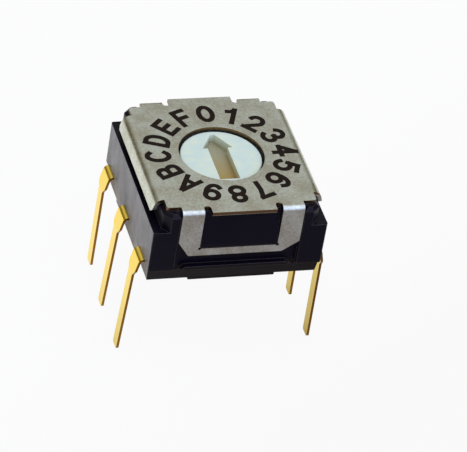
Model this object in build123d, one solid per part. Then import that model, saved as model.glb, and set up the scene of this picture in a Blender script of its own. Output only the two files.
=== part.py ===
from build123d import *
import os
from math import sqrt

# A sixteen position rotary coded switch of the 7 mm class, for a drilled circuit board.
# A screwdriver in the arrow slot turns the rotor, and the code disc under it joins the common
# terminal to the terminals of the bits 1, 2, 4 and 8.
# The origin is on the rotor's axis, in the plane of the board that the standoff pad rests on.
# +X points to the right hand row of terminals, +Y to the zero of the dial and +Z up.

# Terminals, stamped from one strip and bent down outside the housing
pin_pitch = 2.54            # between neighbours in a row, along Y
row_spacing = 7.62          # between the tips of the two rows, along X
pin_reach = 3.65            # tips below the board's top
pin_width = 0.50
pin_tip_chamfer = 0.05
shoulder_width = 0.83       # wide part over the board
shoulder_low = 0.31         # where the wide part begins to narrow
shoulder_end = 0.04         # where it has the pin's own width
strip = 0.10                # thickness of the terminal metal
leg_root = 3.61             # where the strip turns down outside the wall
knee_x = 3.76               # where the slanting wide part turns into the upright pin
knee_z = 0.15
bent_out = 0.14             # how much more the two bent pins of the left row stand out
leg_bend = 0.17             # middle radius of the bends
lead_width = 0.30           # inside the housing
lead_end = 2.90             # where the wide part ends inside the wall
strap_ring = 0.14           # width of the common strap round the post

# Housing, one moulding round the terminals
body_x = 6.90
body_y = 7.02
wall_low = 0.74             # lower edge of the walls, where the terminals come out
corner_round = 0.10         # of the walls' upright corners
band_x = 6.72               # inset base under the walls, at its bottom
band_y = 6.50
band_top_x = 6.84           # and at its top
band_top_y = 6.74
band_top = 0.88             # sill of the pockets
standoff = 0.15
standoff_arm = 3.45         # width of the cross under the floor
standoff_bevel = 0.05
floor_z = 0.90              # floor inside, with the tops of the leads
shoulder_z = 2.60           # ledge along the sides of the raised block
block_corner = 0.30
block_bevel = 0.13          # round the block's top, clear of the lips' folds
pocket_x = 4.90             # recess for the cover's loop
pocket_depth = 0.24         # from the loop's outside
pocket_low = 0.50           # lower corners of the pocket, beside its sill
sill_x = 4.00
post_r = 0.38
post_z = 2.10
post_bevel = 0.10

# Cover, one folded sheet with four turned down sides
sheet = 0.15
dial_z = 3.53               # top of the cover
hole_r = 1.68
sheet_bend = 0.20           # outer radius of the loops' folds
lip_bend = 0.38             # outer radius of the lips' folds
plate_x = 5.90              # flat top without its folds
plate_y = 6.30
plate_corner = 0.12
lips_over = 6.52            # over the two side lips, were their folds sharp
lip_length = 5.30
lip_z = 2.93                # lower edge of a lip
lip_splay = 0.14            # how far a lip leans out down to its lower edge
lip_corner = 0.22
loop_proud = 0.01           # how far the loops stand out past the walls
loop_x = 4.81               # over a loop's two legs
window_x = 3.09             # between the legs
window_z = 1.76             # lower edge of the window
loop_z = 1.43               # lower edge of the loop
loop_corner_x = 0.45
loop_corner_z = 0.65
window_relief = 0.06
tongue_x = 2.54             # tongue between the legs
tongue_over = 7.16
notch_root = 3.17           # how far in the slits beside the tongue reach

# Rotor with its code disc and seal
rotor_sunk = 0.15           # under the cover's top
neck_r = 1.60
neck_round = 0.05
crest_r = 2.16              # over the detent teeth
teeth_z = 2.30
notch_r = 0.17
notch_depth = 0.12
positions = 16
disc_z = 1.40               # underside of the code disc
disc_t = 0.10
disc_r = 2.04
disc_hole = 0.55
pivot_depth = 0.80          # of the blind hole that turns on the post
slot_depth = 0.40
slot_half = 0.40            # half the width of the arrow's shaft
slot_tail = 1.40
barb_half = 0.60
barb_y = 0.54
arrow_tip = 1.38
arrow_blunt = 0.08

# Contact springs and the tracks that they touch, from the common one outwards
track_width = 0.22
track_rib = 0.05
first_track = 0.65          # inner radius of the common track
finger_width = 0.18
finger_t = 0.08
finger_bend = 0.10
foot_in = 0.75              # inner end of the foot, which lies on the lead's end
foot_length = 0.33
tip_drop = 0.12             # turned down end beyond the contact point

# Detent springs, one each side, in slots of the housing
spring_t = 0.10
spring_half = 2.05
spring_height = 0.60
slot_floor = 1.55
nib_half = 0.45
nib_lift = 0.31             # how far the nib stands in from the spring
nib_bend = 0.12
nib_window = 0.75

# Clearances
cover_fit = 0.03            # cover to housing
turn_gap = 0.06             # rotor to bore
pivot_gap = 0.04            # rotor to post
shelf_gap = 0.02            # rotor to the ledge that carries it
contact_gap = 0.03          # contact point to code disc
crest_gap = 0.03            # nib to the crest of a tooth
slot_gap = 0.08             # round the detent springs
seal_gap = 0.01
seal_room = 0.03            # seal to cover

# Worked out from the sizes above
block_z = dial_z - sheet
rotor_top = dial_z - rotor_sunk
loop_over = body_y + 2 * loop_proud
pocket_floor = loop_over / 2 - pocket_depth
block_x = lips_over - 2 * (sheet + cover_fit)
bore_r = crest_r + turn_gap
chamber_r = disc_r + pivot_gap
shelf_low = disc_z + disc_t
lead_mid = floor_z - strip / 2
foot_out = foot_in + foot_length
spring_x = crest_r + crest_gap + spring_t + nib_lift
seal_r = (bore_r - neck_r) / 2 - seal_gap
shelf_z = block_z - seal_room - 2 * seal_r - seal_gap

# Bits of the code, each with its side and row of terminal, the way its contact spring points
# and the distance of that spring from the X axis. The first one is the common of both rows.
track_names = ["common", "8", "4", "2", "1"]
spring_dir = {"common": -1, "8": 1, "4": -1, "2": 1, "1": -1}
spring_y = {"common": 0.56, "8": -0.85, "4": 1.10, "2": -1.38, "1": 1.66}
terminal_side = {"8": 1, "4": -1, "2": -1, "1": 1}
terminal_row = {"8": -1, "4": 1, "2": -1, "1": 1}
turn_x = 1.90               # where a lead turns off its row
cross_x = 1.20              # where a lead that crosses the floor meets its spring's line


def track_inner(name):
    return first_track + track_names.index(name) * (track_width + track_rib)


def slab(x, y, low, high):
    """A block centred on the axis between two heights."""
    return Pos(0, 0, low) * Box(x, y, high - low, align=(Align.CENTER, Align.CENTER, Align.MIN))


def drum(radius, low, high):
    """A cylinder on the axis between two heights."""
    base = (Align.CENTER, Align.CENTER, Align.MIN)
    return Pos(0, 0, low) * Cylinder(radius, high - low, align=base)


def bent_strip(plane, points, bend, thickness, width):
    """A strip of sheet that follows points in a plane and reaches equally to both sides of it."""
    path = FilletPolyline(*points, radius=bend)
    return extrude(plane * trace(path, thickness), width / 2, both=True)


def both_sides(piece):
    """The piece and its copy turned half round the axis."""
    return piece + Rot(0, 0, 180) * piece


def is_bent_out(side, row):
    return side < 0 and row <= 0


def leg(side, row):
    """The part of a terminal from inside the wall to its tip, for one side and row."""
    tip_x = row_spacing / 2 + (bent_out if is_bent_out(side, row) else 0)
    points = [(lead_end, lead_mid), (leg_root, lead_mid), (knee_x, knee_z), (tip_x, -pin_reach)]
    piece = bent_strip(Plane.XZ, points, leg_bend, strip, shoulder_width)
    half = [(pin_width / 2, -pin_reach), (pin_width / 2, shoulder_end),
            (shoulder_width / 2, shoulder_low), (shoulder_width / 2, floor_z)]
    outline = Polygon(*half, *[(-y, z) for y, z in reversed(half)], align=None)
    outline = chamfer(outline.vertices().group_by(Axis.Y)[0], pin_tip_chamfer)
    piece &= extrude(Plane.YZ * outline, row_spacing)
    piece = Pos(0, row * pin_pitch) * piece
    return piece if side > 0 else Pos(0, 2 * row * pin_pitch) * Rot(0, 0, 180) * piece


def lead(points, width):
    """A flat conductor in the housing's floor along the points."""
    return extrude(Pos(0, 0, floor_z - strip) * trace(Polyline(*points), width), strip)


def bit_terminal(name):
    side, row = terminal_side[name], terminal_row[name]
    y = spring_y[name]
    foot = -spring_dir[name]
    points = [(side * (lead_end + lead_width), row * pin_pitch), (side * turn_x, row * pin_pitch)]
    if side == foot:
        points += [(foot * foot_out, y), (foot * foot_in, y)]
    else:
        points += [(side * cross_x, y), (foot * foot_out, y)]
    return leg(side, row) + lead(points, lead_width)


def common_terminal():
    """Both common legs, joined by a strap that passes round the post."""
    strap_end = lead_end + lead_width
    piece = leg(1, 0) + leg(-1, 0) + lead([(-strap_end, 0), (strap_end, 0)], lead_width)
    foot_mid = (foot_in + foot_out) / 2
    piece += lead([(foot_mid, 0), (foot_mid, spring_y["common"] + lead_width / 2)],
                  foot_out - foot_in)
    hole = drum(post_r, floor_z - strip, floor_z)
    return piece + drum(post_r + strap_ring, floor_z - strip, floor_z) - hole


def housing(metal):
    walls = slab(body_x, body_y, wall_low, shoulder_z)
    walls = fillet(walls.edges().filter_by(Axis.Z), corner_round)
    block = slab(block_x, body_y, wall_low, block_z)
    block = chamfer(block.edges().filter_by(Axis.Z), block_corner)
    bottom = Pos(0, 0, standoff) * Rectangle(band_x, band_y)
    band = loft([bottom, Pos(0, 0, band_top) * Rectangle(band_top_x, band_top_y)])
    piece = walls + block + band

    pocket = Polygon(
        (-pocket_x / 2, pocket_low), (-sill_x / 2, band_top), (sill_x / 2, band_top),
        (pocket_x / 2, pocket_low), (pocket_x / 2, dial_z), (-pocket_x / 2, dial_z), align=None)
    piece -= both_sides(Pos(0, -pocket_floor, 0) * extrude(Plane.XZ * pocket, body_y))
    piece = chamfer(piece.faces().sort_by(Axis.Z)[-1].edges(), block_bevel)
    catch_out = loop_over / 2
    catch_low = window_z + cover_fit
    catch = extrude(Plane.YZ * Polygon(
        (pocket_floor - block_bevel, block_z), (pocket_floor, block_z),
        (catch_out, catch_low + sheet), (catch_out, catch_low),
        (pocket_floor - block_bevel, catch_low), align=None),
        window_x / 2 - cover_fit, both=True)
    piece += both_sides(catch)

    cross = Rectangle(band_x, standoff_arm) + Rectangle(standoff_arm, band_y)
    pad = extrude(cross, standoff)
    pad = chamfer(pad.faces().sort_by(Axis.Z)[0].edges(), standoff_bevel)
    piece += pad

    piece -= drum(chamber_r, floor_z, dial_z)
    piece -= drum(bore_r, shelf_low - shelf_gap, dial_z)
    slot_x = spring_t + 2 * slot_gap
    slot = Pos(spring_x - spring_t / 2, 0, slot_floor) * Box(
        slot_x, 2 * (spring_half + slot_gap), dial_z, align=(Align.CENTER, Align.CENTER, Align.MIN))
    window = Pos(0, 0, slot_floor) * Box(
        spring_x, 2 * nib_window, spring_height + 2 * slot_gap,
        align=(Align.MIN, Align.CENTER, Align.MIN))
    piece -= both_sides(slot + window)
    post = drum(post_r, floor_z - strip, post_z)
    piece += chamfer(post.edges().sort_by(Axis.Z)[-1], post_bevel)
    for part in metal:
        piece -= part
    return piece


def cover():
    mid = dial_z - sheet / 2
    half_y = loop_over / 2
    flat = fillet(Rectangle(plate_x, plate_y).vertices(), plate_corner)
    flat += Rectangle(loop_x, loop_over - 2 * sheet_bend)
    slit_x = (window_x - tongue_x) / 2
    slit = Pos((window_x + tongue_x) / 4, 0) * (
        Pos(0, notch_root + slit_x / 2) * Rectangle(slit_x, half_y, align=(Align.CENTER, Align.MIN))
        + Pos(0, notch_root + slit_x / 2) * Circle(slit_x / 2))
    slits = slit + mirror(slit, Plane.YZ)
    slits += mirror(slits, Plane.XZ)
    outline = flat + Rectangle(tongue_x, tongue_over) - slits - Circle(hole_r)
    piece = extrude(Pos(0, 0, block_z) * outline, sheet)

    lip_x = lips_over / 2 - sheet / 2
    points = [(lip_x - lip_bend, mid), (lip_x, mid), (lip_x + lip_splay, lip_z)]
    lip = bent_strip(Plane.XZ, points, lip_bend - sheet / 2, sheet, lip_length)
    below = lip_z - sheet / 2
    lip_view = Pos(0, below) * Rectangle(lip_length, dial_z - below, align=(Align.CENTER, Align.MIN))
    low = lip_view.vertices().group_by(Axis.Y)[0]
    lip &= extrude(Plane.YZ * chamfer(low, lip_corner), lips_over)

    loop_y = half_y - sheet / 2
    loop = bent_strip(Plane.YZ, [(loop_y - sheet_bend, mid), (loop_y, mid), (loop_y, loop_z)],
                      sheet_bend - sheet / 2, sheet, loop_x)
    view = Pos(0, loop_z) * Rectangle(loop_x, dial_z - loop_z, align=(Align.CENTER, Align.MIN))
    low = view.vertices().group_by(Axis.Y)[0]
    view = chamfer(low, loop_corner_x, loop_corner_z)
    view -= Pos(0, window_z) * Rectangle(window_x, dial_z, align=(Align.CENTER, Align.MIN))
    for side in (-1, 1):
        view -= Pos(side * window_x / 2, window_z) * Circle(window_relief)
    loop &= extrude(Plane.XZ * view, -loop_over)
    return piece + both_sides(lip) + both_sides(loop)


def code_disc():
    """Plate with a window wherever a bit is off: position 0 leaves every bit's track bare."""
    plate = Circle(disc_r) - Circle(disc_hole)
    step = 360 / positions
    for bit in (8, 4, 2, 1):
        inner = track_inner(str(bit))
        ring = Circle(inner + track_width) - Circle(inner)
        y = spring_y[str(bit)]
        middle = inner + track_width / 2
        contact = Vector(spring_dir[str(bit)] * sqrt(middle ** 2 - y ** 2), y)
        angle = Vector(1, 0).get_signed_angle(contact, Vector(0, 0, 1))
        span = step * bit
        for turn in range(positions // (2 * bit)):
            first = angle - step / 2 + turn * 2 * span
            wedge = Rot(0, 0, first) * wedge_sketch(span)
            plate -= ring & wedge
    return extrude(Pos(0, 0, disc_z) * plate, disc_t)


def wedge_sketch(span):
    """A sector from the X axis over an angle of up to half a turn, wider than the disc."""
    far = 2 * disc_r
    start = Vector(far, 0)
    middle = start.rotate(Axis.Z, span / 2)
    end = start.rotate(Axis.Z, span)
    edges = [Line((0, 0), start), ThreePointArc(start, middle, end), Line(end, (0, 0))]
    return make_face(edges)


def rotor(disc):
    piece = drum(crest_r, shelf_low, shelf_z)
    notch = drum(notch_r, shelf_low, teeth_z)
    for place in PolarLocations(crest_r + notch_r - notch_depth, positions):
        piece -= place * notch
    neck = drum(neck_r, shelf_z, rotor_top)
    neck = fillet(neck.edges().sort_by(Axis.Z)[-1], neck_round)
    arrow = Polygon(
        (-slot_half, -slot_tail), (slot_half, -slot_tail), (slot_half, barb_y), (barb_half, barb_y),
        (arrow_blunt, arrow_tip), (-arrow_blunt, arrow_tip), (-barb_half, barb_y),
        (-slot_half, barb_y), align=None)
    piece += neck + drum(disc_r, disc_z, shelf_low)
    piece -= extrude(Pos(0, 0, rotor_top - slot_depth) * arrow, slot_depth)
    piece -= drum(post_r + pivot_gap, disc_z, disc_z + pivot_depth)
    return piece - disc


def seal():
    ring_r = neck_r + seal_gap + seal_r
    return Pos(0, 0, shelf_z + seal_gap + seal_r) * Torus(ring_r, seal_r)


def contact_spring(name):
    inner = track_inner(name)
    y = spring_y[name]
    along = spring_dir[name]
    contact_x = sqrt((inner + track_width / 2) ** 2 - y ** 2)
    low = floor_z + finger_t / 2
    high = disc_z - contact_gap - finger_t / 2
    points = [(-along * foot_out, low), (-along * foot_in, low), (along * contact_x, high),
              (along * (contact_x + tip_drop), high - tip_drop)]
    return Pos(0, y) * bent_strip(Plane.XZ, points, finger_bend, finger_t, finger_width)


def detent_spring():
    """The right hand one: a strip on edge whose nib points at the rotor's teeth."""
    mid = spring_x - spring_t / 2
    nib = mid - nib_lift
    points = [(mid, -spring_half), (mid, -nib_half), (nib, 0), (mid, nib_half), (mid, spring_half)]
    path = FilletPolyline(*points, radius=nib_bend)
    return extrude(Pos(0, 0, slot_floor) * trace(path, spring_t), spring_height)


terminals = {f"terminal_{name}": bit_terminal(name) for name in terminal_side}
terminals["terminal_common"] = common_terminal()
disc = code_disc()
right_spring = detent_spring()

pieces = dict(terminals)
pieces["housing"] = housing(terminals.values())
pieces["cover"] = cover()
pieces["code_disc"] = disc
pieces["rotor"] = rotor(disc)
pieces["o_ring"] = seal()
pieces["detent_spring_right"] = right_spring
pieces["detent_spring_left"] = Rot(0, 0, 180) * right_spring
for name in track_names:
    pieces[f"contact_spring_{name}"] = contact_spring(name)

os.makedirs("parts", exist_ok=True)
for name, piece in pieces.items():
    export_step(piece, f"parts/{name}.step")
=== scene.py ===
import math

import bmesh
import bpy
from bpy.props import FloatProperty, FloatVectorProperty, PointerProperty, StringProperty
from mathutils import Matrix, Quaternion, Vector, geometry


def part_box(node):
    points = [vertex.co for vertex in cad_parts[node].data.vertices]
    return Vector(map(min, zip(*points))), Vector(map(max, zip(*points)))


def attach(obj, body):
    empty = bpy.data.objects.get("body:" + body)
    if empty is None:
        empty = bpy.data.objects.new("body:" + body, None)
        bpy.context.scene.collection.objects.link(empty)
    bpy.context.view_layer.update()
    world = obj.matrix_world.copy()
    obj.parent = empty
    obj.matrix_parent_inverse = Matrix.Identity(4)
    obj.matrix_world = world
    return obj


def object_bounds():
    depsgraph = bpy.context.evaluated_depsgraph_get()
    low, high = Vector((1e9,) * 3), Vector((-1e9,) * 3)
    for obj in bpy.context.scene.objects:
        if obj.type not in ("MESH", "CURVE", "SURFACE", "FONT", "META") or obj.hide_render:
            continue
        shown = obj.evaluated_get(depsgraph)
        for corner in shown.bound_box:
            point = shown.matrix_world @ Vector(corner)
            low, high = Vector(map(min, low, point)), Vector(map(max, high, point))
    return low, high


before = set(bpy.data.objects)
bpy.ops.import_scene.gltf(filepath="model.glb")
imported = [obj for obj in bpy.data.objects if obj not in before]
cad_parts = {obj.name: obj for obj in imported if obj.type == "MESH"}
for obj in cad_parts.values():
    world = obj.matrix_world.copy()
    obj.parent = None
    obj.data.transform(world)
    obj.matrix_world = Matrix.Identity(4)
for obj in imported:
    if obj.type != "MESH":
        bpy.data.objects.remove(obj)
cad_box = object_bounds()

bl_info = {
    "name": "Rotary dip switch looks",
    "version": (1, 0, 0),
    "blender": (4, 5, 0),
    "location": "3D View > Sidebar > Rotary Switch",
    "description": "Finishes, dial print and stage for a board mounted rotary coded switch",
    "category": "Object",
}

# Lengths in this file are written in millimetres and turned to metres by this value.
MM = 0.001

# Most values of a noise texture lie between these two.
NOISE_LOW, NOISE_HIGH = 0.3, 0.7

# Sockets of a Mix node that mixes colours: its factor, its two colours and its result
FACTOR, UNDER, OVER, MIXED = 0, 6, 7, 2

WHITE = (1.0, 1.0, 1.0)

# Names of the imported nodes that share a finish
TERMINALS = ("terminal_1", "terminal_2", "terminal_4", "terminal_8", "terminal_common")
CONTACTS = ("contact_spring_1", "contact_spring_2", "contact_spring_4", "contact_spring_8",
            "contact_spring_common", "code_disc")
DETENTS = ("detent_spring_left", "detent_spring_right")


def linear(code):
    """An sRGB hex colour as linear red, green and blue."""
    parts = [int(code[i:i + 2], 16) / 255 for i in (1, 3, 5)]
    return tuple(p / 12.92 if p <= 0.04045 else ((p + 0.055) / 1.055) ** 2.4 for p in parts)


def length(name, description, millimetres):
    """A size that the user can change."""
    return FloatProperty(name=name, description=description, default=millimetres * MM,
                         min=0.0, unit="LENGTH", subtype="DISTANCE", precision=6)


def share(name, description, value, high=1.0):
    """A part of a whole, or a strength, that the user can change."""
    return FloatProperty(name=name, description=description, default=value, min=0.0, max=high,
                         subtype="FACTOR")


def colour(name, description, code):
    """A colour that the user can change."""
    return FloatVectorProperty(name=name, description=description, default=linear(code),
                               subtype="COLOR", min=0.0, max=1.0)


class HousingLook(bpy.types.PropertyGroup):
    upper: colour("Upper colour", "Bluish black of the walls and the pockets", "#090614")
    # Painted reflection: the band below the parting line is browner and lighter
    band_reflection: colour("Band reflection colour", "Browner black below the parting line, a painted reflection", "#191211")
    # Painted sheen: grey on the two long sides, standing in for their low-angle reflection
    painted_side_sheen: colour("Side sheen colour", "Painted grey sheen on the two long sides, in blotches",
                   "#A3A1A1")
    # Painted highlight along the sharp edges
    painted_edge_highlight: colour("Edge highlight colour", "Paler painted highlight along the sharp edges", "#6A5B57")
    edge: length("Edge radius", "How far the moulded edges are rounded", 0.03)
    side_sheen_depth: length("Side sheen depth", "How far in from the housing's sides the sheen is painted", 0.15)
    band_top: length("Band top", "Height of the mould's parting line over the board", 0.82)
    roughness: share("Roughness", "Of the eroded mould finish", 0.36)
    bloom: share("Bloom", "Dusty haze that shows at a low angle", 0.06)
    grain: length("Grain", "Grit of the eroded mould, coarser than real so that it shows", 0.09)


class CoverLook(bpy.types.PropertyGroup):
    sheet: colour("Sheet colour", "Stainless steel sheet", "#DEE5D9")
    dull: colour("Dull colour", "Where handling has dulled the sheet", "#BEBDAB")
    cut: colour("Cut edge colour", "Sheared edges of the sheet", "#7D6244")
    roughness: share("Roughness", "Of the satin rolled surface", 0.30)
    grain: length("Grain", "Spacing of the tumbled grain, coarser than real so that it shows", 0.10)
    rim_depth: length("Rim depth", "How far down from the top the sheared rim shows", 0.14)


class PrintLook(bpy.types.PropertyGroup):
    characters: StringProperty(name="Characters", default="0123456789ABCDEF",
                               description="Round the dial, clockwise from the +Y side")
    radius: length("Radius", "From the rotor's axis to the middle of a character", 2.53)
    cap: length("Cap height", "Over the ink, along the radius", 1.06)
    width: length("Width", "Of an average character over the ink", 0.71)
    stroke: length("Stroke", "Width of an ink line", 0.205)
    thickness: length("Ink thickness", "Over the metal", 0.006)
    ink: colour("Ink", "Baked dark brown marking ink", "#1B0F07")


class RotorLook(bpy.types.PropertyGroup):
    body: colour("Colour", "Natural white nylon", "#F0FDDE")
    cool: colour("Cool cast", "Cooler clouds in the nylon", "#E4F6E4")
    # Painted shade in the arrow slot, on its floor and towards the end of its shaft
    floor: colour("Slot floor", "Painted shade on the floor of the arrow's head", "#B0A985")
    tail: colour("Slot tail", "Painted shade, browner towards the end of the arrow's shaft", "#B99C50")
    roughness: share("Roughness", "Of the moulded surface", 0.38)
    shine_through: share("Shine through", "How far light enters the plastic", 0.12)


class GoldLook(bpy.types.PropertyGroup):
    plate: colour("Plate", "Gold plate over nickel", "#FFDF62")
    # Painted shade on the terminals' sheared edges
    edge: colour("Sheared edge", "Painted shade on the strip's cut edges", "#8F6216")
    contact: colour("Contact plate", "Plate on the springs and the code disc", "#E2B95C")
    roughness: share("Roughness", "Of the bright plate", 0.22)


class InsideLook(bpy.types.PropertyGroup):
    strip: colour("Spring strip", "Bare stainless strip of the detent springs", "#C2C1BE")
    rubber: colour("Rubber", "Silicone rubber of the seal", "#161616")
    bloom: colour("Bloom", "Dusty bloom on the seal", "#262626")


class StageLook(bpy.types.PropertyGroup):
    floor: colour("Floor", "Matt white paper", "#F4F4F2")
    # Painted shadow on the paper in front of the switch
    shadow_graded: colour("Painted shadow end", "Painted shadow, grey on the paper in front", "#B3A69C")
    whiteness: share("Whiteness", "How much of the floor the eye sees as plain white", 0.93)
    in_gloss: share("White in gloss", "How much of its white end shiny faces see as plain", 1.0)
    sky: share("Studio light", "Strength of the light from above", 0.62, 2.0)
    horizon: share("Horizon light", "Strength of the light from low down", 0.24, 2.0)
    low: colour("Horizon colour", "Warm walls of the room, low down", "#E2D2AE")


def feed(tree, node, inputs):
    """Gives each named or numbered input of a node a value or a link."""
    for name, value in inputs.items():
        socket = node.inputs[name]
        if isinstance(value, bpy.types.NodeSocket):
            tree.links.new(value, socket)
        elif socket.type == "RGBA" and len(value) == 3:
            socket.default_value = (*value, 1.0)
        else:
            socket.default_value = value


def add(tree, kind, inputs=None, **settings):
    """Adds a node, sets it up, and gives its inputs their values and links."""
    made = tree.nodes.new(kind)
    for name, value in settings.items():
        setattr(made, name, value)
    feed(tree, made, inputs or {})
    return made


def new_material(name):
    """A material with its node tree, its Principled shader and the place of each point on it."""
    made = bpy.data.materials.new(name)
    made.use_nodes = True
    tree = made.node_tree
    place = add(tree, "ShaderNodeTexCoord").outputs["Object"]
    return made, tree, tree.nodes["Principled BSDF"], place


def facing(tree, axis):
    """How squarely the surface faces along an axis, either way round: 1 is square on."""
    normal = add(tree, "ShaderNodeNewGeometry").outputs["True Normal"]
    part = add(tree, "ShaderNodeSeparateXYZ", {"Vector": normal}).outputs[axis]
    return add(tree, "ShaderNodeMath", {0: part}, operation="ABSOLUTE").outputs["Value"]


def wear(nodes, material):
    """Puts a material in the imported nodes' own slots."""
    for name in nodes:
        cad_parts[name].material_slots[0].material = material


def moulded_pbt(look, side):
    """Glass filled PBT, moulded black in a spark eroded mould: matt, with a fine grain and
    faint flow marks, and browner below the parting line, which is painted reflection. The two
    long sides carry a blotchy painted grey sheen, and the edges a paler painted highlight."""
    parting_blur = 0.02 * MM
    blotch_size = 0.55 * MM
    taller_than_wide = (1.0, 1.0, 0.45)
    square_on = 0.9
    flow_size = 1.4 * MM
    grain_depth = 0.006 * MM
    material, tree, shader, place = new_material("moulded_black_pbt")
    where = add(tree, "ShaderNodeSeparateXYZ", {"Vector": place}).outputs

    # Browner under the parting line, which is painted reflection, and a little lighter or darker
    # from grain to grain
    above = add(tree, "ShaderNodeMapRange", {
        "Value": where["Z"], "From Min": look.band_top,
        "From Max": look.band_top + parting_blur}).outputs["Result"]
    black = add(tree, "ShaderNodeMix", {
        FACTOR: above, UNDER: look.band_reflection, OVER: look.upper}, data_type="RGBA").outputs[MIXED]
    grain = add(tree, "ShaderNodeTexNoise", {
        "Vector": place, "Scale": 1 / look.grain, "Detail": 3.0, "Roughness": 0.6}).outputs["Fac"]
    lighter = add(tree, "ShaderNodeMapRange", {
        "Value": grain, "From Min": NOISE_LOW, "From Max": NOISE_HIGH,
        "To Min": 0.7, "To Max": 1.3}).outputs["Result"]
    grained = add(tree, "ShaderNodeMix", {
        FACTOR: 1.0, UNDER: black, OVER: lighter}, data_type="RGBA",
        blend_type="MULTIPLY").outputs[MIXED]

    # Painted sheen on the outer faces of the two sides, in blotches: a grey that stands in for
    # their reflection at a low angle
    square = add(tree, "ShaderNodeMath", {0: facing(tree, "X"), 1: square_on},
                 operation="GREATER_THAN").outputs["Value"]
    off_axis = add(tree, "ShaderNodeMath", {0: where["X"]}, operation="ABSOLUTE").outputs["Value"]
    outermost = add(tree, "ShaderNodeMath", {0: off_axis, 1: side - look.side_sheen_depth},
                    operation="GREATER_THAN").outputs["Value"]
    on_side = add(tree, "ShaderNodeMath", {0: square, 1: outermost},
                  operation="MULTIPLY").outputs["Value"]
    drawn = add(tree, "ShaderNodeMapping", {
        "Vector": place, "Scale": taller_than_wide}).outputs["Vector"]
    blotch = add(tree, "ShaderNodeTexNoise", {
        "Vector": drawn, "Scale": 1 / blotch_size, "Detail": 4.0,
        "Roughness": 0.65}).outputs["Fac"]
    sheen_blotches = add(tree, "ShaderNodeMapRange", {
        "Value": blotch, "From Min": 0.32, "From Max": 0.65, "To Min": 0.5,
        "To Max": 1.0}).outputs["Result"]
    side_sheen_amount = add(tree, "ShaderNodeMath", {0: sheen_blotches, 1: on_side},
                operation="MULTIPLY").outputs["Value"]
    side_sheened = add(tree, "ShaderNodeMix", {
        FACTOR: side_sheen_amount, UNDER: grained, OVER: look.painted_side_sheen}, data_type="RGBA").outputs[MIXED]

    # Painted highlight along the edges, where the rounded surface turns away from the flat one:
    # a paler colour that stands in for the light the rounded edges catch
    rounded = add(tree, "ShaderNodeBevel", {"Radius": look.edge}, samples=6).outputs["Normal"]
    flat = add(tree, "ShaderNodeNewGeometry").outputs["Normal"]
    alike = add(tree, "ShaderNodeVectorMath", {0: rounded, 1: flat},
                operation="DOT_PRODUCT").outputs["Value"]
    at_edge = add(tree, "ShaderNodeMapRange", {
        "Value": alike, "From Min": 0.99, "From Max": 0.86, "To Min": 0.0,
        "To Max": 0.7}).outputs["Result"]
    edge_highlighted = add(tree, "ShaderNodeMix", {
        FACTOR: at_edge, UNDER: side_sheened, OVER: look.painted_edge_highlight}, data_type="RGBA").outputs[MIXED]

    flow = add(tree, "ShaderNodeTexNoise", {
        "Vector": place, "Scale": 1 / flow_size, "Detail": 2.0}).outputs["Fac"]
    rough = add(tree, "ShaderNodeMapRange", {
        "Value": flow, "From Min": NOISE_LOW, "From Max": NOISE_HIGH,
        "To Min": look.roughness - 0.07, "To Max": look.roughness + 0.07}).outputs["Result"]
    bump = add(tree, "ShaderNodeBump", {
        "Height": grain, "Distance": grain_depth, "Strength": 0.6,
        "Normal": rounded}).outputs["Normal"]
    feed(tree, shader, {
        "Base Color": edge_highlighted, "Roughness": rough, "Normal": bump, "IOR": 1.5,
        "Specular IOR Level": 0.15, "Sheen Weight": look.bloom, "Sheen Roughness": 0.35})
    return material


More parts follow.
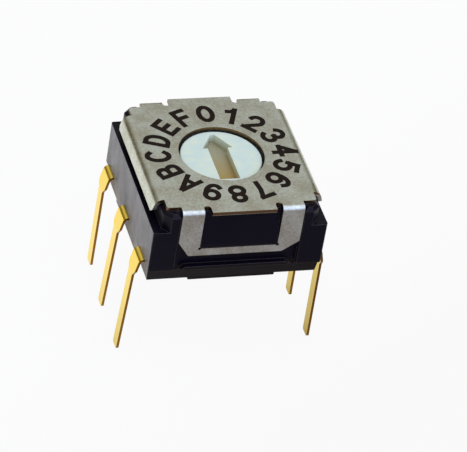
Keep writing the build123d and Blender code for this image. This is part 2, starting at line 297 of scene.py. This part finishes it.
def satin_stainless(look, top):
    """Stainless steel sheet, rolled and tumbled after stamping: satin, with a cloudy grain and
    stray dark specks, and duller sheared edges."""
    cloud_size = 0.9 * MM
    speck_spacing = 0.75 * MM
    clear_cells = 0.82
    upright = 0.15
    grain_depth = 0.002 * MM
    material, tree, shader, place = new_material("satin_stainless_sheet")

    # Clouds of duller grain
    grain = add(tree, "ShaderNodeTexNoise", {
        "Vector": place, "Scale": 1 / look.grain, "Detail": 4.0, "Roughness": 0.65}).outputs["Fac"]
    cloud = add(tree, "ShaderNodeTexNoise", {
        "Vector": place, "Scale": 1 / cloud_size, "Detail": 3.0}).outputs["Fac"]
    mottled = add(tree, "ShaderNodeMath", {0: grain, 1: cloud}, operation="ADD").outputs["Value"]
    bright = add(tree, "ShaderNodeMapRange", {
        "Value": mottled, "From Min": 0.80, "From Max": 1.20}).outputs["Result"]
    sheet = add(tree, "ShaderNodeMix", {
        FACTOR: bright, UNDER: look.dull, OVER: look.sheet}, data_type="RGBA").outputs[MIXED]

    # A small dark speck in the middle of about one cell in six
    cells = add(tree, "ShaderNodeTexVoronoi", {"Vector": place, "Scale": 1 / speck_spacing})
    chance = add(tree, "ShaderNodeSeparateColor", {"Color": cells.outputs["Color"]}).outputs["Red"]
    picked = add(tree, "ShaderNodeMath", {0: chance, 1: clear_cells},
                 operation="GREATER_THAN").outputs["Value"]
    speck = add(tree, "ShaderNodeMapRange", {
        "Value": cells.outputs["Distance"], "From Min": 0.03, "From Max": 0.06,
        "To Min": 0.55, "To Max": 0.0}).outputs["Result"]
    dark = add(tree, "ShaderNodeMath", {0: speck, 1: picked},
               operation="MULTIPLY").outputs["Value"]
    specked = add(tree, "ShaderNodeMix", {
        FACTOR: dark, UNDER: sheet, OVER: look.cut}, data_type="RGBA").outputs[MIXED]

    # The sheared rim of the flat, which stands upright at the top
    steep = add(tree, "ShaderNodeMath", {0: facing(tree, "Z"), 1: upright},
                operation="LESS_THAN").outputs["Value"]
    height = add(tree, "ShaderNodeSeparateXYZ", {"Vector": place}).outputs["Z"]
    at_top = add(tree, "ShaderNodeMath", {0: height, 1: top - look.rim_depth},
                 operation="GREATER_THAN").outputs["Value"]
    rim = add(tree, "ShaderNodeMath", {0: steep, 1: at_top}, operation="MULTIPLY").outputs["Value"]
    paint = add(tree, "ShaderNodeMix", {
        FACTOR: rim, UNDER: specked, OVER: look.cut}, data_type="RGBA").outputs[MIXED]

    rough = add(tree, "ShaderNodeMapRange", {
        "Value": cloud, "From Min": NOISE_LOW, "From Max": NOISE_HIGH,
        "To Min": look.roughness - 0.05, "To Max": look.roughness + 0.05}).outputs["Result"]
    bump = add(tree, "ShaderNodeBump", {
        "Height": grain, "Distance": grain_depth, "Strength": 0.5}).outputs["Normal"]
    feed(tree, shader, {"Base Color": paint, "Roughness": rough, "Normal": bump, "Metallic": 1.0})
    return material


def marking_ink(look):
    """Baked epoxy marking ink, pad printed: dark brown, slightly glossy, thin in places."""
    blot_size = 0.14 * MM
    material, tree, shader, place = new_material("baked_marking_ink")
    blot = add(tree, "ShaderNodeTexNoise", {
        "Vector": place, "Scale": 1 / blot_size, "Detail": 3.0}).outputs["Fac"]
    thin = add(tree, "ShaderNodeMapRange", {
        "Value": blot, "From Min": 0.3, "From Max": 0.75, "To Min": 0.75,
        "To Max": 1.5}).outputs["Result"]
    paint = add(tree, "ShaderNodeMix", {
        FACTOR: 1.0, UNDER: look.ink, OVER: thin}, data_type="RGBA",
        blend_type="MULTIPLY").outputs[MIXED]
    feed(tree, shader, {"Base Color": paint, "Roughness": 0.5, "Specular IOR Level": 0.15})
    return material


def moulded_nylon(look, top):
    """Natural white nylon, moulded: a soft milky white that lets some light in, with painted shade
    in the arrow slot, tan and deeper towards its floor."""
    cloud_size = 0.45 * MM
    unshaded_depth, shaded_depth = 0.03 * MM, 0.38 * MM
    head_place, tail_place = 0.7 * MM, -1.0 * MM
    grain_size = 0.08 * MM  # coarser than real, so that it shows
    grain_depth = 0.003 * MM
    material, tree, shader, place = new_material("moulded_white_nylon")
    where = add(tree, "ShaderNodeSeparateXYZ", {"Vector": place}).outputs

    cloud = add(tree, "ShaderNodeTexNoise", {
        "Vector": place, "Scale": 1 / cloud_size, "Detail": 3.0}).outputs["Fac"]
    tone = add(tree, "ShaderNodeMapRange", {
        "Value": cloud, "From Min": 0.35, "From Max": 0.65}).outputs["Result"]
    milky = add(tree, "ShaderNodeMix", {
        FACTOR: tone, UNDER: look.cool, OVER: look.body}, data_type="RGBA").outputs[MIXED]

    # Painted shade in the slot, tan that deepens towards its floor, and browner from the arrow's
    # head to the end of its shaft
    to_tail = add(tree, "ShaderNodeMapRange", {
        "Value": where["Y"], "From Min": head_place, "From Max": tail_place}).outputs["Result"]
    slot_shade = add(tree, "ShaderNodeMix", {
        FACTOR: to_tail, UNDER: look.floor, OVER: look.tail}, data_type="RGBA").outputs[MIXED]
    sunk = add(tree, "ShaderNodeMapRange", {
        "Value": where["Z"], "From Min": top - unshaded_depth,
        "From Max": top - shaded_depth}).outputs["Result"]
    paint = add(tree, "ShaderNodeMix", {
        FACTOR: sunk, UNDER: milky, OVER: slot_shade}, data_type="RGBA").outputs[MIXED]

    grain = add(tree, "ShaderNodeTexNoise", {
        "Vector": place, "Scale": 1 / grain_size, "Detail": 2.0}).outputs["Fac"]
    bump = add(tree, "ShaderNodeBump", {
        "Height": grain, "Distance": grain_depth, "Strength": 0.5}).outputs["Normal"]
    feed(tree, shader, {
        "Base Color": paint, "Normal": bump, "Roughness": look.roughness, "IOR": 1.53,
        "Subsurface Weight": look.shine_through, "Subsurface Radius": (1.0, 0.9, 0.8),
        "Subsurface Scale": 0.15 * MM})
    return material


def gold_plate(name, look, plate, edge=None):
    """Gold plate over nickel on copper alloy strip: bright and warm, with faint drawing lines
    along the legs. Where it has an edge colour, the strip's sheared edges, which face along the
    rows of terminals, get that darker colour as painted shade."""
    line_size = 0.07 * MM  # coarser than real, so that the lines show
    line_depth = 0.001 * MM
    long_lines = (1.0, 1.0, 0.06)
    edge_on = 0.7
    material, tree, shader, place = new_material(name)

    paint = plate
    if edge:
        # Painted shade: the sheared edges, which face along Y, are darker
        sheared = add(tree, "ShaderNodeMath", {0: facing(tree, "Y"), 1: edge_on},
                      operation="GREATER_THAN").outputs["Value"]
        paint = add(tree, "ShaderNodeMix", {
            FACTOR: sheared, UNDER: plate, OVER: edge}, data_type="RGBA").outputs[MIXED]

    along = add(tree, "ShaderNodeMapping", {
        "Vector": place, "Scale": long_lines}).outputs["Vector"]
    lines = add(tree, "ShaderNodeTexNoise", {
        "Vector": along, "Scale": 1 / line_size, "Detail": 2.0}).outputs["Fac"]
    rough = add(tree, "ShaderNodeMapRange", {
        "Value": lines, "From Min": NOISE_LOW, "From Max": NOISE_HIGH,
        "To Min": look.roughness - 0.06, "To Max": look.roughness + 0.06}).outputs["Result"]
    bump = add(tree, "ShaderNodeBump", {
        "Height": lines, "Distance": line_depth, "Strength": 0.5}).outputs["Normal"]
    feed(tree, shader, {"Base Color": paint, "Roughness": rough, "Normal": bump, "Metallic": 1.0})
    return material


def spring_strip(look):
    """Stainless spring strip, cold rolled: bright grey with fine lines along the strip."""
    line_size = 0.05 * MM  # coarser than real, so that the lines show
    long_lines = (1.0, 0.05, 1.0)
    material, tree, shader, place = new_material("cold_rolled_spring_strip")
    along = add(tree, "ShaderNodeMapping", {
        "Vector": place, "Scale": long_lines}).outputs["Vector"]
    lines = add(tree, "ShaderNodeTexNoise", {
        "Vector": along, "Scale": 1 / line_size, "Detail": 2.0}).outputs["Fac"]
    rough = add(tree, "ShaderNodeMapRange", {
        "Value": lines, "From Min": NOISE_LOW, "From Max": NOISE_HIGH,
        "To Min": 0.2, "To Max": 0.35}).outputs["Result"]
    feed(tree, shader, {"Base Color": look.strip, "Roughness": rough, "Metallic": 1.0})
    return material


def silicone_rubber(look):
    """Silicone rubber, moulded black: soft sheen and a faint dusty bloom."""
    bloom_size = 0.3 * MM
    material, tree, shader, place = new_material("moulded_silicone_rubber")
    bloom = add(tree, "ShaderNodeTexNoise", {
        "Vector": place, "Scale": 1 / bloom_size, "Detail": 4.0}).outputs["Fac"]
    paint = add(tree, "ShaderNodeMix", {
        FACTOR: bloom, UNDER: look.rubber, OVER: look.bloom}, data_type="RGBA").outputs[MIXED]
    feed(tree, shader, {"Base Color": paint, "Roughness": 0.55})
    return material


def bow(x, y, across, up, start, end, steps=20):
    """Points along an oval from one angle to another, in degrees."""
    angles = [math.radians(start + (end - start) * i / steps) for i in range(steps + 1)]
    return [(x + across * math.cos(a), y + up * math.sin(a)) for a in angles]


def characters():
    """Each character as its pen strokes. X and Y run from about -1 to 1 between the middles of
    the outermost strokes, and a stroke whose ends meet is a closed ring."""
    stem = [(-0.88, 1), (-0.88, -1)]
    return {
        "0": [bow(0, 0, 1.05, 1, 0, 360)],
        "1": [[(0.42, 1), (0.42, -1)], [(-0.62, 0.56), (-0.1, 0.62), (0.25, 0.84)]],
        "2": [bow(0, 0.42, 1, 0.58, 168, -32) + [(-0.72, -0.86)], [(-0.95, -1), (0.98, -1)]],
        "3": [bow(-0.05, 0.5, 0.92, 0.5, 158, -78), bow(-0.05, -0.47, 1.05, 0.53, 78, -158)],
        "4": [[(0.4, 1), (0.4, -1)], [(0.3, 0.92), (-0.98, -0.38)], [(-1.0, -0.42), (1.1, -0.42)]],
        "5": [[(-0.6, 1), (0.85, 1)], [(-0.6, 1), (-0.82, 0.08)],
              bow(-0.05, -0.33, 1.05, 0.67, 135, -152)],
        "6": [bow(0, -0.4, 1, 0.6, 0, 360), bow(0.12, 0, 1.12, 1, 190, 52)],
        "7": [[(-0.95, 1), (0.95, 1)], [(0.85, 0.92), (0.1, -0.05), (-0.25, -1)]],
        "8": [bow(0, 0.52, 0.88, 0.48, 0, 360), bow(0, -0.47, 1.02, 0.53, 0, 360)],
        "9": [bow(0, 0.4, 1, 0.6, 0, 360), bow(-0.12, 0, 1.12, 1, 10, -128)],
        "A": [[(-1.12, -1), (-0.1, 0.98)], [(1.12, -1), (0.1, 0.98)], [(-0.6, -0.4), (0.6, -0.4)]],
        "B": [stem, [(-0.88, 1), (0.15, 1)] + bow(0.15, 0.52, 0.72, 0.48, 80, -80)
              + [(0.15, 0.04), (-0.88, 0.04)],
              [(-0.88, 0.04), (0.15, 0.04)] + bow(0.15, -0.48, 0.85, 0.52, 80, -80)
              + [(0.15, -1), (-0.88, -1)]],
        "C": [bow(0.08, 0, 1.12, 1, 46, 314)],
        "D": [stem, [(-0.88, 1), (-0.1, 1)] + bow(-0.1, 0, 1.1, 1, 80, -80)
              + [(-0.1, -1), (-0.88, -1)]],
        "E": [stem, [(-0.88, 1), (0.85, 1)], [(-0.88, 0.02), (0.7, 0.02)], [(-0.88, -1), (0.9, -1)]],
        "F": [stem, [(-0.88, 1), (0.85, 1)], [(-0.88, 0.02), (0.6, 0.02)]],
    }


def ribbon(points, width):
    """The quads of a pen stroke with square ends along the points. Its mitres are kept short,
    so that a sharp corner grows no spike."""
    touching = 1e-6
    sharpest = 0.4
    points = [Vector(p) for p in points]
    closed = (points[0] - points[-1]).length < touching
    if closed:
        points.pop()
    else:
        points[0] += (points[0] - points[1]).normalized() * width / 2
        points[-1] += (points[-1] - points[-2]).normalized() * width / 2
    count = len(points)
    sides = []
    for i, point in enumerate(points):
        before = point - points[i - 1] if closed or i > 0 else points[1] - point
        after = points[(i + 1) % count] - point if closed or i < count - 1 else before
        across = (before.normalized() + after.normalized()).normalized().orthogonal()
        reach = width / 2 / max(sharpest, abs(across.dot(after.normalized().orthogonal())))
        sides.append((point + across * reach, point - across * reach))
    pairs = zip(sides, sides[1:] + sides[:1]) if closed else zip(sides, sides[1:])
    return [(left, right, next_right, next_left)
            for (left, right), (next_left, next_right) in pairs]


def join_flat(quads, low, high):
    """A thin solid over all that flat quads cover together, between two heights."""
    flat_within = math.radians(0.5)
    corners = [corner for quad in quads for corner in quad]
    faces = [tuple(range(4 * i, 4 * i + 4)) for i in range(len(quads))]
    every_triangle, smallest_gap = 0, 1e-4
    points, _, cells, _, _, sources = geometry.delaunay_2d_cdt(
        corners, [], faces, every_triangle, smallest_gap, True)
    made = bmesh.new()
    verts = [made.verts.new((p.x * MM, p.y * MM, low)) for p in points]
    for cell, source in zip(cells, sources):
        if source:
            made.faces.new([verts[i] for i in cell])
    loose = [v for v in made.verts if not v.link_faces]
    bmesh.ops.delete(made, geom=loose, context="VERTS")
    bmesh.ops.dissolve_limit(made, angle_limit=flat_within, verts=made.verts[:],
                             edges=made.edges[:])
    grown = bmesh.ops.extrude_face_region(made, geom=made.faces[:])["geom"]
    raised = [g for g in grown if isinstance(g, bmesh.types.BMVert)]
    bmesh.ops.translate(made, vec=(0, 0, high - low), verts=raised)
    bmesh.ops.recalc_face_normals(made, faces=made.faces[:])
    return made


class ROTARYSWITCH_OT_housing(bpy.types.Operator):
    """Finish the housing in black moulded plastic"""
    bl_idname = "rotary_switch.housing"
    bl_label = "Housing"

    def execute(self, context):
        look = context.scene.housing_look
        wear(["housing"], moulded_pbt(look, side=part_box("housing")[1].x))
        return {"FINISHED"}


class ROTARYSWITCH_OT_cover(bpy.types.Operator):
    """Finish the cover in satin stainless steel"""
    bl_idname = "rotary_switch.cover"
    bl_label = "Cover"

    def execute(self, context):
        look = context.scene.cover_look
        wear(["cover"], satin_stainless(look, top=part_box("cover")[1].z))
        return {"FINISHED"}


class ROTARYSWITCH_OT_dial_print(bpy.types.Operator):
    """Print the sixteen positions round the hole of the cover"""
    bl_idname = "rotary_switch.dial_print"
    bl_label = "Dial print"

    def execute(self, context):
        look = context.scene.print_look
        strokes = characters()
        missing = set(look.characters) - set(strokes)
        if missing:
            raise ValueError(f"no pen strokes for {sorted(missing)}")
        stroke = look.stroke / MM
        half_width = (look.width / MM - stroke) / 2
        half_height = (look.cap / MM - stroke) / 2
        quads = []
        for position, character in enumerate(look.characters):
            turn = -math.tau * position / len(look.characters)
            rotate = Matrix.Rotation(turn, 2)
            for line in strokes[character]:
                placed = [rotate @ Vector((x * half_width, look.radius / MM + y * half_height))
                          for x, y in line]
                quads += ribbon(placed, stroke)
        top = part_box("cover")[1].z
        sunk = 0.002 * MM
        made = join_flat(quads, top - sunk, top + look.thickness)
        mesh = bpy.data.meshes.new("dial_print")
        made.to_mesh(mesh)
        made.free()
        piece = bpy.data.objects.new("dial_print", mesh)
        context.scene.collection.objects.link(piece)
        mesh.materials.append(marking_ink(look))
        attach(piece, "body")
        return {"FINISHED"}


class ROTARYSWITCH_OT_rotor(bpy.types.Operator):
    """Finish the rotor in white moulded nylon"""
    bl_idname = "rotary_switch.rotor"
    bl_label = "Rotor"

    def execute(self, context):
        look = context.scene.rotor_look
        wear(["rotor"], moulded_nylon(look, top=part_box("rotor")[1].z))
        return {"FINISHED"}


class ROTARYSWITCH_OT_terminals(bpy.types.Operator):
    """Gold plate the terminals"""
    bl_idname = "rotary_switch.terminals"
    bl_label = "Terminals"

    def execute(self, context):
        look = context.scene.gold_look
        wear(TERMINALS, gold_plate("gold_plated_terminal", look, look.plate, look.edge))
        return {"FINISHED"}


class ROTARYSWITCH_OT_mechanism(bpy.types.Operator):
    """Finish the contact springs, the code disc, the detent springs and the seal"""
    bl_idname = "rotary_switch.mechanism"
    bl_label = "Mechanism"

    def execute(self, context):
        gold = context.scene.gold_look
        inside = context.scene.inside_look
        wear(CONTACTS, gold_plate("gold_plated_contact", gold, gold.contact))
        wear(DETENTS, spring_strip(inside))
        wear(["o_ring"], silicone_rubber(inside))
        return {"FINISHED"}


def paper_floor(look):
    """Matt paper with a painted shadow: white behind the switch, graded to grey in front. The eye
    sees it as nearly plain white, and the rest keeps the light and the shadow on it."""
    to_white_end = (-0.6, 0.8, 0.0)
    shadow_place, white_place = -8 * MM, 5 * MM
    material, tree, shader, place = new_material("matt_paper_painted_shadow")
    # Painted shadow: grey in front of the switch, where its shadow falls on the paper
    behind = add(tree, "ShaderNodeVectorMath", {0: place, 1: to_white_end},
                 operation="DOT_PRODUCT").outputs["Value"]
    out_of_shadow = add(tree, "ShaderNodeMapRange", {
        "Value": behind, "From Min": shadow_place, "From Max": white_place}).outputs["Result"]
    paint = add(tree, "ShaderNodeMix", {
        FACTOR: out_of_shadow, UNDER: look.shadow_graded, OVER: look.floor}, data_type="RGBA").outputs[MIXED]
    feed(tree, shader, {"Base Color": paint, "Roughness": 0.9, "Specular IOR Level": 0.1})

    # How plain a white each kind of ray meets
    rays = add(tree, "ShaderNodeLightPath").outputs
    mirrored = add(tree, "ShaderNodeMath", {
        0: rays["Is Glossy Ray"], 1: rays["Is Transmission Ray"]},
        operation="MAXIMUM").outputs["Value"]
    in_gloss = add(tree, "ShaderNodeMath", {0: mirrored, 1: look.in_gloss},
                   operation="MULTIPLY").outputs["Value"]
    shadow_graded = add(tree, "ShaderNodeMath", {0: in_gloss, 1: out_of_shadow},
                 operation="MULTIPLY").outputs["Value"]
    to_eye = add(tree, "ShaderNodeMath", {
        0: rays["Is Camera Ray"], 1: look.whiteness}, operation="MULTIPLY").outputs["Value"]
    plain = add(tree, "ShaderNodeMath", {0: shadow_graded, 1: to_eye},
                operation="MAXIMUM").outputs["Value"]
    white = add(tree, "ShaderNodeEmission", {"Color": WHITE, "Strength": 1.0}).outputs["Emission"]
    both = add(tree, "ShaderNodeMixShader", {0: plain, 1: shader.outputs["BSDF"], 2: white})
    feed(tree, tree.nodes["Material Output"], {"Surface": both.outputs["Shader"]})
    return material


def lay_paper(scene, look):
    """A sheet of paper under the tips of the terminals."""
    half_side = 1500 * MM
    mesh = bpy.data.meshes.new("paper")
    sheet = bmesh.new()
    bmesh.ops.create_grid(sheet, x_segments=1, y_segments=1, size=half_side)
    sheet.to_mesh(mesh)
    sheet.free()
    floor = bpy.data.objects.new("paper", mesh)
    floor.location.z = cad_box[0][2]
    scene.collection.objects.link(floor)
    mesh.materials.append(paper_floor(look))


def light_room(scene, look):
    """A room that is white overhead, and darker and warmer low down. The camera sees it plain
    white, so that it carries on from the paper."""
    # Sines of the angle over the horizon
    dim_below, bright_above = 0.35, 0.62

    world = bpy.data.worlds.new("studio")
    world.use_nodes = True
    scene.world = world
    tree = world.node_tree
    seen = add(tree, "ShaderNodeLightPath").outputs["Is Camera Ray"]
    way = add(tree, "ShaderNodeTexCoord").outputs["Generated"]
    up = add(tree, "ShaderNodeSeparateXYZ", {"Vector": way}).outputs["Z"]
    overhead = add(tree, "ShaderNodeMapRange", {
        "Value": up, "From Min": dim_below, "From Max": bright_above},
        interpolation_type="SMOOTHSTEP").outputs["Result"]
    studio = add(tree, "ShaderNodeMapRange", {
        "Value": overhead, "To Min": look.horizon, "To Max": look.sky}).outputs["Result"]
    strength = add(tree, "ShaderNodeMapRange", {
        "Value": seen, "To Min": studio, "To Max": 1.0}).outputs["Result"]
    neutral = add(tree, "ShaderNodeMath", {0: overhead, 1: seen},
                  operation="MAXIMUM").outputs["Value"]
    tint = add(tree, "ShaderNodeMix", {
        FACTOR: neutral, UNDER: look.low, OVER: WHITE}, data_type="RGBA").outputs[MIXED]
    feed(tree, tree.nodes["Background"], {"Color": tint, "Strength": strength})


def softbox(scene, name, direction, distance, size, radiance, tint):
    """A rectangular studio lamp that faces the switch, with its distance and its two sides in
    millimetres. Its radiance is its power over its area and pi."""
    lamp = bpy.data.lights.new(name, "AREA")
    lamp.shape = "RECTANGLE"
    lamp.size, lamp.size_y = (side * MM for side in size)
    lamp.energy = radiance * math.pi * lamp.size * lamp.size_y
    lamp.color = linear(tint)
    away = Vector(direction).normalized()
    piece = bpy.data.objects.new(name, lamp)
    piece.location = away * distance * MM
    piece.rotation_euler = away.to_track_quat("Z", "Y").to_euler()
    scene.collection.objects.link(piece)


def aim_camera(scene):
    """The viewing angle of the photograph, through a long lens."""
    position = Vector((-36.83, -98.35, 80.97)) * MM
    aim = Vector((0.480, -1.355, 1.0)) * MM
    roll = math.radians(10.05)
    camera = bpy.data.cameras.new("photo_view")
    camera.lens = 261.7
    camera.sensor_width = 36.0
    camera.clip_start = 10 * MM
    view = bpy.data.objects.new("photo_view", camera)
    view.location = position
    level = (aim - position).to_track_quat("-Z", "Y")
    view.rotation_euler = (level @ Quaternion((0, 0, 1), roll)).to_euler()
    scene.collection.objects.link(view)
    scene.camera = view


class ROTARYSWITCH_OT_stage(bpy.types.Operator):
    """Set the floor, the light and the camera"""
    bl_idname = "rotary_switch.stage"
    bl_label = "Stage"

    def execute(self, context):
        scene = context.scene
        look = scene.stage_look
        lay_paper(scene, look)
        light_room(scene, look)
        softbox(scene, "window", direction=(0.20, -0.62, 0.75), distance=95, size=(130, 190),
                radiance=1.3, tint="#BCCCFF")
        aim_camera(scene)
        scene.view_settings.view_transform = "Standard"
        return {"FINISHED"}


LOOKS = {"housing_look": HousingLook, "cover_look": CoverLook, "print_look": PrintLook,
         "rotor_look": RotorLook, "gold_look": GoldLook, "inside_look": InsideLook,
         "stage_look": StageLook}
OPERATORS = (ROTARYSWITCH_OT_housing, ROTARYSWITCH_OT_cover, ROTARYSWITCH_OT_dial_print,
             ROTARYSWITCH_OT_rotor, ROTARYSWITCH_OT_terminals, ROTARYSWITCH_OT_mechanism,
             ROTARYSWITCH_OT_stage)


class ROTARYSWITCH_PT_pieces(bpy.types.Panel):
    """Lists the switch's pieces and the settings of their looks"""
    bl_idname = "ROTARYSWITCH_PT_pieces"
    bl_label = "Rotary Switch"
    bl_space_type = "VIEW_3D"
    bl_region_type = "UI"
    bl_category = "Rotary Switch"

    def draw(self, context):
        for operator in OPERATORS:
            self.layout.operator(operator.bl_idname)
        for name in LOOKS:
            look = getattr(context.scene, name)
            box = self.layout.box()
            for setting in look.bl_rna.properties.keys():
                if setting not in ("rna_type", "name"):
                    box.prop(look, setting)


def register():
    for look in LOOKS.values():
        bpy.utils.register_class(look)
    for operator in OPERATORS:
        bpy.utils.register_class(operator)
    bpy.utils.register_class(ROTARYSWITCH_PT_pieces)
    for name, look in LOOKS.items():
        setattr(bpy.types.Scene, name, PointerProperty(type=look))


def unregister():
    for name in LOOKS:
        delattr(bpy.types.Scene, name)
    bpy.utils.unregister_class(ROTARYSWITCH_PT_pieces)
    for operator in reversed(OPERATORS):
        bpy.utils.unregister_class(operator)
    for look in LOOKS.values():
        bpy.utils.unregister_class(look)


def main():
    register()
    bpy.ops.rotary_switch.housing()
    bpy.ops.rotary_switch.cover()
    bpy.ops.rotary_switch.dial_print()
    bpy.ops.rotary_switch.rotor()
    bpy.ops.rotary_switch.terminals()
    bpy.ops.rotary_switch.mechanism()
    bpy.ops.rotary_switch.stage()


if __name__ == "__main__":
    main()
